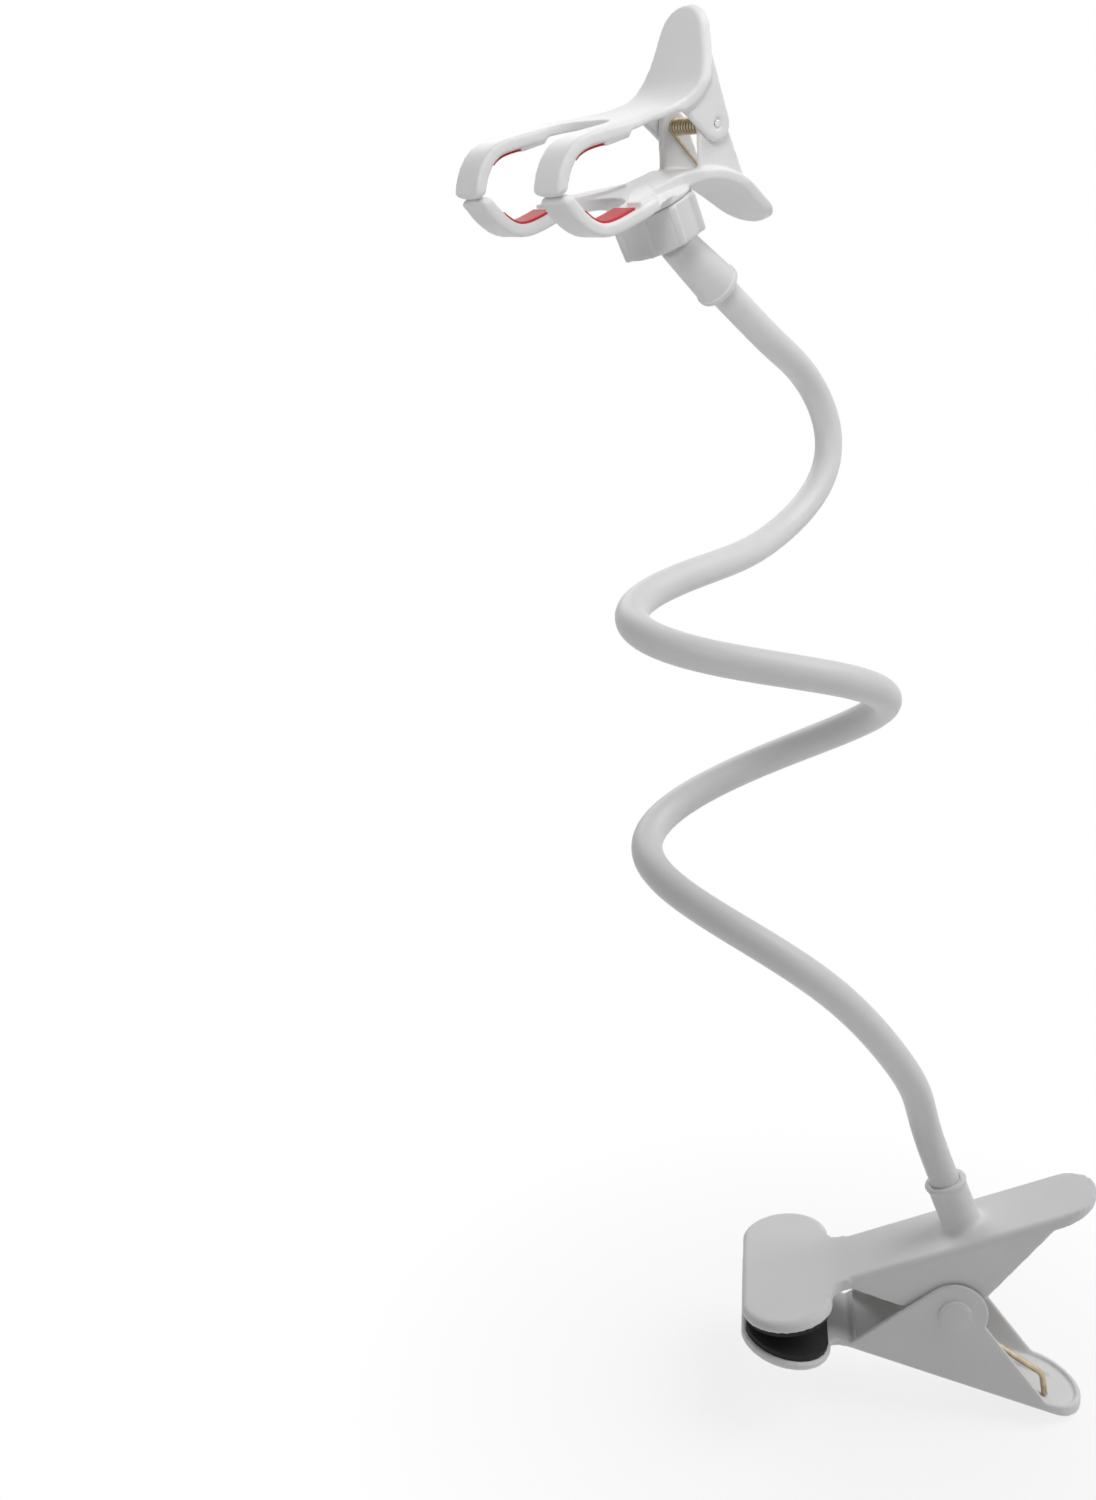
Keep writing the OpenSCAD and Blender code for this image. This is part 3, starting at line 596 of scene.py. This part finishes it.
def spring(name, course, at, wire_mm, node):
    """A wound spring of wire, drawn along its course in a frame, in place of its CAD node."""
    obj = rod(name, [at @ Vector(p * MM) for p in course], wire_mm / 2, 14, "gold_wire")
    piece(obj, "gold_wire", None, node)
    tips = [at @ Vector(course[k] * MM) for k in (0, -1)]
    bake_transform(obj)


TABLE_TIPS_X = (31.2, 30)  # under the lower and the upper handle
PHONE_TIPS = ((4.187, 20.708), (10.558, -19.354))


def make_springs():
    low = LOWER_FACE - HANDLE_WALL / math.cos(math.radians(LOWER_SLOPE))
    high = UPPER_FACE - HANDLE_WALL / math.cos(math.radians(UPPER_SLOPE))
    x0, x1 = TABLE_TIPS_X
    tip0 = np.array((x0, HINGE_Z - low - slope_of(LOWER_SLOPE) * x0))
    tip1 = np.array((x1, high + slope_of(UPPER_SLOPE) * x1 - HINGE_Z))
    spring("table_spring_wire", coil_course(4.2, 7.4, 5, [tip0, tip0 + (-1.4, 7.6)],
                                            [tip1 + (0.6, -5), tip1], -1, 40),
           TABLE_PIVOT, 2, "table_spring")
    tip0, tip1 = np.array(PHONE_TIPS[0]), np.array(PHONE_TIPS[1])
    spring("phone_spring_wire", coil_course(2.05, 6.85, 12, [tip0, tip0 * 0.9],
                                            [tip1 * 0.9, tip1], 1, 36),
           CLIP, 0.9, "phone_spring")


# ------------------------------------------------------------------ table clip

# How fine each moulded skin is in mm, how often it is smoothed, and how far it swells first
TABLE_SKIN, NUT_SKIN, PAD_SKIN = (0.45, 10), (0.32, 1), (0.22, 3)
LEVER_SKIN, LEVER_LAST_SKIN = (0.36, 18, 0.24), (0.36, 3)


def make_table_clip():
    upper = from_cad("table_upper_lever", "table_upper_moulding")
    lip = turned("collar lip", softened(
        [(4.8, 14.6), (6.45, 14.6), (6.9, 15.2), (6.9, COLLAR_TOP), (4.8, COLLAR_TOP)],
        [0.1, 0.3, 0.5]), COLLAR)
    upper = moulded(added(upper, lip), *TABLE_SKIN)
    piece(upper, "white_satin", "table_clip_upper", "table_upper_lever")
    lower = moulded(from_cad("table_lower_lever", "table_lower_moulding"), *TABLE_SKIN)
    piece(lower, "white_satin", "table_clip_lower", "table_lower_lever")
    for name, body in (("table_upper_pad", "table_clip_upper"),
                       ("table_lower_pad", "table_clip_lower")):
        pad = from_cad(name, name + "_rubber")
        edge = pad.modifiers.new("edge", "BEVEL")
        edge.width, edge.segments, edge.limit_method = 0.35 * MM, 3, "ANGLE"
        piece(smoothed(settled(pad), 35), "black_rubber", body, name)
    for side, name in ((-1, "table_near_pivot_cap"), (1, "table_far_pivot_cap")):
        at = frame_at((HINGE_X, side * 14, HINGE_Z), turn("X", -90 * side))
        cap = turned(name + "_dome", softened(
            [(0, 0), (5.3, 0), (5.3, 0.75), (4.75, 1.0), (4.35, 0.95), (4.1, 1.2), (0, 1.3)],
            [0.05, 0.3, 0.12, 0.12, 0.2]), at, 72)
        piece(cap, "white_satin", "table_clip_lower", name)
    pin = turned("table_pivot_rod", softened(
        [(0, -13.9), (2, -13.9), (2, 13.9), (0, 13.9)], [0.3, 0.3]),
        frame_at(TABLE_HINGE, turn("X", 90)), 48)
    piece(pin, "steel", "table_clip_lower", "table_pivot_pin")
    for name in ("arm_fixing_screw", "arm_fixing_washer"):
        nodes[name].data.materials.clear()
        nodes[name].data.materials.append(FINISH["steel"])


# ------------------------------------------------------------------ ball joint

def rib_tree():
    """Geometry nodes that set ribs evenly round the nut."""
    tree, given, result = new_tree("ribs round a nut", {
        "Rib": "Object", "Ribs": "Int", "Rib circle": "Float", "Finish": "Material"})
    new, link = tree.nodes.new, tree.links.new
    circle, place = new("GeometryNodeMeshCircle"), new("GeometryNodeInputPosition")
    rib, align = new("GeometryNodeObjectInfo"), new("FunctionNodeAlignRotationToVector")
    align.axis = "X"
    spread, join = new("GeometryNodeInstanceOnPoints"), new("GeometryNodeJoinGeometry")
    link(given.outputs["Ribs"], circle.inputs["Vertices"])
    link(given.outputs["Rib circle"], circle.inputs["Radius"])
    link(given.outputs["Rib"], rib.inputs["Object"])
    link(place.outputs[0], align.inputs["Vector"])
    link(circle.outputs["Mesh"], spread.inputs["Points"])
    link(rib.outputs["Geometry"], spread.inputs["Instance"])
    link(align.outputs["Rotation"], spread.inputs["Rotation"])
    link(given.outputs["Geometry"], join.inputs["Geometry"])
    link(spread.outputs["Instances"], join.inputs["Geometry"])
    painted(tree, given, result, join.outputs["Geometry"])
    return tree


def make_ball_joint():
    top, low = NUT_TOP, NUT_LOW
    rib = turned("nut rib", softened([(0, low + 0.2), (1.2, low + 0.2), (1.45, top - 0.2),
                                      (0, top - 0.2)], [0.8, 0.7]), Matrix.Identity(4), 24)
    nut = turned("lock_nut_moulding", softened(
        [(11.2, low), (12.0, low), (12.3, low + 1.2), (12.4, top), (10.25, top), (10.25, -1),
         (8.75, -4.2)], [0.3, 0.6, 0.6, 0, 0]), Matrix.Identity(4), 96)
    with_inputs(nut, rib_tree(), Rib=rib, Ribs=RIBS, Rib_circle=RIB_CIRCLE * MM,
                Finish=FINISH["white_nut"])
    nut = settled(nut)
    bpy.data.objects.remove(rib)
    nut.data.transform(SOCKET @ turn("Z", NUT_TURN).to_4x4())
    piece(moulded(nut, *NUT_SKIN), "white_nut", "lock_nut", "lock_nut")
    ferrule = turned("arm_ferrule_sleeve", softened(
        [(2.55, 14), (2.55, 9.2), (5.2, 9.2), (5.7, 9.7), (6.9, 30.2), (7.3, 30.6), (7.25, 31.9),
         (6.85, FERRULE_TOP), (4.8, FERRULE_TOP), (4.8, 14)],
        [0, 0, 0.3, 0, 0.15, 0.3, 0.25, 0.3, 0]), NECK, 72)
    piece(ferrule, "white_satin", "arm", "arm_ferrule")
    arc = [(BALL_RADIUS * math.sin(a), -BALL_RADIUS * math.cos(a))
           for a in np.linspace(0, math.pi - math.asin(SHANK_RADIUS / BALL_RADIUS), 40)]
    ball = turned("swivel_ball_and_neck", [
        *arc, (SHANK_RADIUS, 8.6), (SHANK_RADIUS, 9.15), (2.5, 9.2), (2.5, 17.8), (2.3, 18),
        (0, 18)], NECK)
    piece(ball, "steel", "ball", "swivel_ball")


# ------------------------------------------------------------------ phone clip

# Where each claw begins, as x and distance from the middle: the thicker patch of its lever
UPPER_ROOT = [(-52, 24.2), (-52, 14), (-43.6, 13.5), (-43.2, 24)]
LOWER_ROOT = [(-44.5, 24.2), (-44.3, 18.2), (-36.5, 9.8), (-32, 5.9), (-28, 5),
              (-24.5, 5.2), (-28, 10.8), (-36.8, 22.2)]


def claw_roots(outline, low, high):
    """The patches of both claws of a lever, between two heights."""
    return [prism([(x, side * y) for x, y in outline], low, high, CLIP) for side in (-1, 1)]


def round_tips(co, way):
    """Rounds the side edges of the claws' tips, where the two levers meet."""
    x, y, z = co.T
    near_tip = np.clip(1 - way * (z + 0.6) / 3.2, 0, 1) * (x < -55)
    co[:, 2] += way * near_tip * ((np.abs(y) - CLAW_Y) / HALF_CLAW) ** 4


def thin_upper_root(co):
    """The upper plate is thinner between the claws' roots and the ears."""
    x, y, z = co.T
    co[:, 2] += (step(x, -43.4, -42.2) * step(x, -12, -17)
                 * step(z, 8.9, 8.0) * step(z, 4.2, 5.2))


def waist_lower_plate(co):
    """The lower plate draws in behind the claws, over the round boss under it."""
    x, y, z = co.T
    pull = step(x, -37, -28.5) * step(x, -8, -15) * step(z, -14.3, -13.0) * step(z, -6, -8)
    co[:, 1] -= np.sign(y) * pull * 0.75 * np.clip(np.abs(y) - 8, 0, None)


def make_phone_clip():
    for half, change, root, (low, high), way in (
            ("upper", thin_upper_root, UPPER_ROOT, (7.3, 9.5), 1),
            ("lower", waist_lower_plate, LOWER_ROOT, (-13.7, -9.6), -1)):
        node, body = f"phone_{half}_lever", f"phone_clip_{half}"
        lever = moulded(from_cad(node, f"phone_{half}_moulding"), *LEVER_SKIN)
        lever = added(reshaped(lever, CLIP, change), *claw_roots(root, low, high))
        lever = reshaped(moulded(lever, *LEVER_LAST_SKIN), CLIP, lambda co: round_tips(co, way))
        piece(lever, "white_gloss", body, node)
    for name, body in (("upper_near_claw_pad", "phone_clip_upper"),
                       ("upper_far_claw_pad", "phone_clip_upper"),
                       ("lower_near_claw_pad", "phone_clip_lower"),
                       ("lower_far_claw_pad", "phone_clip_lower")):
        pad = moulded(from_cad(name, name + "_rubber"), *PAD_SKIN)
        piece(pad, "red_rubber", body, name)
    pin = turned("phone_pivot_rod", softened(
        [(0, -11.75), (1, -11.65), (1.05, -11), (1.4, -10.9), (1.4, 10.9), (1.05, 11),
         (1, 11.65), (0, 11.75)], [0.3, 0.05, 0.05, 0.05, 0.05, 0.3]),
        CLIP @ turn("X", 90).to_4x4(), 48)
    piece(pin, "steel", "phone_clip_lower", "phone_pivot_pin")


make_arm()
make_springs()
make_table_clip()
make_ball_joint()
make_phone_clip()


# ------------------------------------------------------------------ floor and light

def seen_rays(tree):
    """1 for what the camera, a reflection or glass sees of the surroundings, else 0."""
    rays = tree.nodes.new("ShaderNodeLightPath")
    camera, glossy, through = (Sock(tree, rays.outputs[n]) for n in (
        "Is Camera Ray", "Is Glossy Ray", "Is Transmission Ray"))
    return (camera + glossy + through).clipped()


def make_floor():
    """A pale floor, most of it glowing white to the eye, so that the soft shadow stays."""
    z = cad_box[0][2] - 0.0004
    bpy.ops.mesh.primitive_plane_add(size=12, location=(0, 0, z))
    floor = bpy.context.object
    floor.name = "floor"
    material, shader, place, feed = finish_named("pale floor", 0.9, specular=0.1)
    tree = material.node_tree
    shader.inputs["Base Color"].default_value = grey(0.90)
    glow = tree.nodes.new("ShaderNodeEmission")
    away = place.node("ShaderNodeVectorMath", {"operation": "DISTANCE"}, 1,
                      _0=place, _1=(0.03, 0, 0))
    far_off = ((away - 0.05) / 0.13).clipped()
    mix = tree.nodes.new("ShaderNodeMixShader")
    share = seen_rays(tree) * (0.80 + 0.20 * far_off)  # near the part the shadow shows more
    tree.links.new(share.out, mix.inputs[0])
    tree.links.new(shader.outputs[0], mix.inputs[1])
    tree.links.new(glow.outputs[0], mix.inputs[2])
    tree.links.new(mix.outputs[0], tree.nodes["Material Output"].inputs["Surface"])
    floor.data.materials.append(material)


def placed(data, place, aim):
    """A lamp at a place, aimed at another."""
    obj = bpy.data.objects.new(data.name, data)
    obj.location = place
    obj.rotation_euler = (Vector(aim) - Vector(place)).to_track_quat("-Z", "Y").to_euler()
    scene.collection.objects.link(obj)


def lamp(name, place, aim, size, watts):
    """A square soft lamp."""
    data = bpy.data.lights.new(name, "AREA")
    data.size, data.energy = size, watts
    placed(data, place, aim)


def make_light():
    world = bpy.data.worlds.new("studio")
    scene.world = world
    world.use_nodes = True
    tree = world.node_tree
    around = tree.nodes["Background"]
    around.inputs["Color"].default_value = (1, 1, 1, 1)
    strength = 0.22 + 0.78 * seen_rays(tree)
    tree.links.new(strength.out, around.inputs["Strength"])
    middle, clip = (0, 0, 0.2), (-0.035, 0.02, 0.37)
    lamp("key", (1.5, 0.2, 2.2), middle, 1.9, 36)
    lamp("back", (-1.2, 2.0, 1.7), middle, 1.6, 14)
    data = bpy.data.lights.new("clip light", "SPOT")
    data.energy, data.shadow_soft_size = 6.7, 0.12
    data.spot_size, data.spot_blend = math.radians(42), 1
    placed(data, (-0.10, -0.56, 0.60), clip)
    scene.view_settings.view_transform = "Standard"


make_floor()
make_light()
